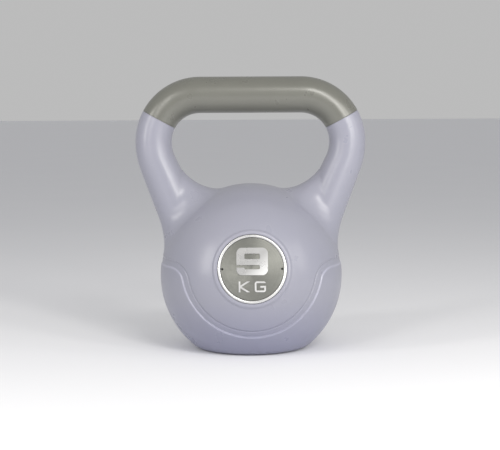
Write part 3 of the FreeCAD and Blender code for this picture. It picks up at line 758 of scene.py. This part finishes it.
def plate_piece(side):
    """The grey disc, with a rounded edge and two pin holes."""
    low = 0.8 * MM
    high = 2.6 * MM
    corner = 0.4 * MM
    pin = 1.15 * MM
    pin_inset = 1.5 * MM
    place = badge_place(side, SEAT_FLOOR)
    outline = [(PLATE, low)] + arc((PLATE - corner, high - corner), corner, 0.0, 90.0, 5)
    piece = new_piece("disc", turned("disc", outline, place, closed=False))
    work = bmesh.new()
    for sign in (1.0, -1.0):
        spot = place @ Matrix.Translation((sign * (PLATE - pin_inset), 0.0, 0.0))
        hole = [(pin, 0.0), (pin, high + 1.0 * MM)]
        work.from_mesh(turned("pin", hole, spot, closed=False, around=32))
    pins = bpy.data.meshes.new("pins")
    work.to_mesh(pins)
    work.free()
    tool = new_piece("pins", pins)
    cut = piece.modifiers.new("pins", "BOOLEAN")
    cut.solver = "MANIFOLD"
    cut.object = tool
    mesh = applied(piece)
    bpy.data.objects.remove(tool, do_unlink=True)
    mesh.shade_smooth()
    mesh.set_sharp_from_angle(angle=math.radians(40.0))
    return new_piece(side + "_plate", mesh)


def bevelled(node, width):
    """Rounds the edges of a CAD node with modifiers alone."""
    item = frame["nodes"][node]
    round_off = item.modifiers.new("round", "BEVEL")
    round_off.width = width
    round_off.segments = 3
    round_off.limit_method = "ANGLE"
    round_off.angle_limit = math.radians(35.0)
    item.modifiers.new("even", "WEIGHTED_NORMAL").keep_sharp = True


skin = new_piece("skin", moulded_skin())
rim_attribute(skin.data)
finish_piece(skin, "shell", skin_plastic())

grip = grip_piece()
finish_piece(grip, "grip_sleeve", grip_rubber())

# the last two numbers of each are the painted reflection's darker and brighter tones
ring_material = bright_metal("ring_bright", "ring_bright", 0.26, 0.34, 0.7, 0.72, 0.83)
mark_material = bright_metal("mark_silver", "mark_silver", 0.26, 0.32, 0.55, 0.58, 1.25)
letter_material = bright_metal("letter_silver", "mark_silver", 0.28, 0.38, 0.7, 0.8, 0.84)
tape_material, _ = plain_grained("tape_foam", "tape_foam", 0.9, 1800.0, 0.1 * MM, 0.2)
for side in ("front", "rear"):
    finish_piece(ring_piece(side), side + "_badge_ring", ring_material)
    finish_piece(plate_piece(side), side + "_badge_plate", plate_grey(side))
    wear_material(side + "_badge_tape", tape_material)
    for mark in ("numeral", "letter_k", "letter_g"):
        wear_material("%s_%s" % (side, mark),
                      mark_material if mark == "numeral" else letter_material)
        bevelled("%s_%s" % (side, mark), 0.3 * MM)

cap_material, _ = plain_grained("cap_plastic", "cap_plastic", 0.5, 1400.0, 0.05 * MM, 0.1)
wear_material("fill_cap", cap_material)
cement_material, _ = plain_grained("cement", "cement", 0.9, 700.0, 0.4 * MM, 0.16)
wear_material("cement_fill", cement_material)
steel_material, steel_shader = plain_grained("rod_steel", "rod_steel", 0.4, 500.0, 0.05 * MM, 0.12)
steel_shader.inputs["Metallic"].default_value = 1.0
wear_material("handle_rod", steel_material)

# --------------------------------------------------------------------------- studio
bpy.ops.mesh.primitive_grid_add(x_subdivisions=8, y_subdivisions=8, size=80.0)
floor = bpy.context.object
floor.name = "floor"
floor.data.materials.append(pale_floor())

MIDDLE = Vector((0.0, 0.0, 129.5 * MM))     # what the camera looks at


def soft_light(name, spot, wide, high, power, target=MIDDLE):
    """A rectangular soft box, turned towards the bell."""
    lamp = bpy.data.lights.new(name, "AREA")
    lamp.shape = "RECTANGLE"
    lamp.size = wide
    lamp.size_y = high
    lamp.energy = power
    lamp.color = (1.0, 0.98, 0.93)
    item = bpy.data.objects.new(name, lamp)
    bpy.context.scene.collection.objects.link(item)
    item.location = spot
    item.visible_camera = False
    item.rotation_euler = (target - Vector(spot)).to_track_quat("-Z", "Y").to_euler()
    return item


def strip(name, turn, power, above=0.5, wide=0.2, high=0.7):
    """A soft box at an angle round the bell, from the camera's side to the right."""
    away = 1.25
    soft_light(name, (away * math.sin(math.radians(turn)), -away * math.cos(math.radians(turn)),
                      above), wide, high, power)


# tall boxes stand round the front, and two small ones shine from above
strip("right_inner", 27.0, 5.8)
strip("right_outer", 44.0, 4.2)
strip("right_side", 66.0, 1.8)
strip("left_inner", -30.0, 2.4)
strip("left_outer", -58.0, 4.2)
strip("top_right", 18.0, 5.2, above=1.05, wide=0.4, high=0.3)
strip("top_left", -34.0, 1.8, above=1.0, wide=0.4, high=0.3)

world = bpy.data.worlds.new("studio")
bpy.context.scene.world = world
world.use_nodes = True
world.node_tree.nodes.clear()
sky = world.node_tree.nodes.new("ShaderNodeBackground")
sky.inputs["Color"].default_value = (1.0, 1.0, 1.0, 1.0)
sky.inputs["Strength"].default_value = 0.5
sky_output = world.node_tree.nodes.new("ShaderNodeOutputWorld")
world.node_tree.links.new(sky.outputs["Background"], sky_output.inputs["Surface"])

lens = bpy.data.cameras.new("camera")
camera = bpy.data.objects.new("camera", lens)
bpy.context.scene.collection.objects.link(camera)
bpy.context.scene.camera = camera
AWAY = 1.378                                # camera to the middle of the bell
EYE = 0.249                                 # its height, above the top of the ball
LEFT = -0.016                               # a little left of the middle
AIM_LEFT = -0.001
VIEW_WIDE = 0.53                            # width seen at the bell
ROLL = math.radians(-0.3)
camera.location = (LEFT, -AWAY, EYE)
aim = MIDDLE + Vector((AIM_LEFT, 0.0, 0.0)) - camera.location
level = aim.to_track_quat("-Z", "Y")
camera.rotation_euler = (level @ Quaternion((0.0, 0.0, 1.0), ROLL)).to_euler()
lens.sensor_width = 36.0
lens.lens = lens.sensor_width * aim.length / VIEW_WIDE

bpy.context.scene.view_settings.view_transform = "Standard"
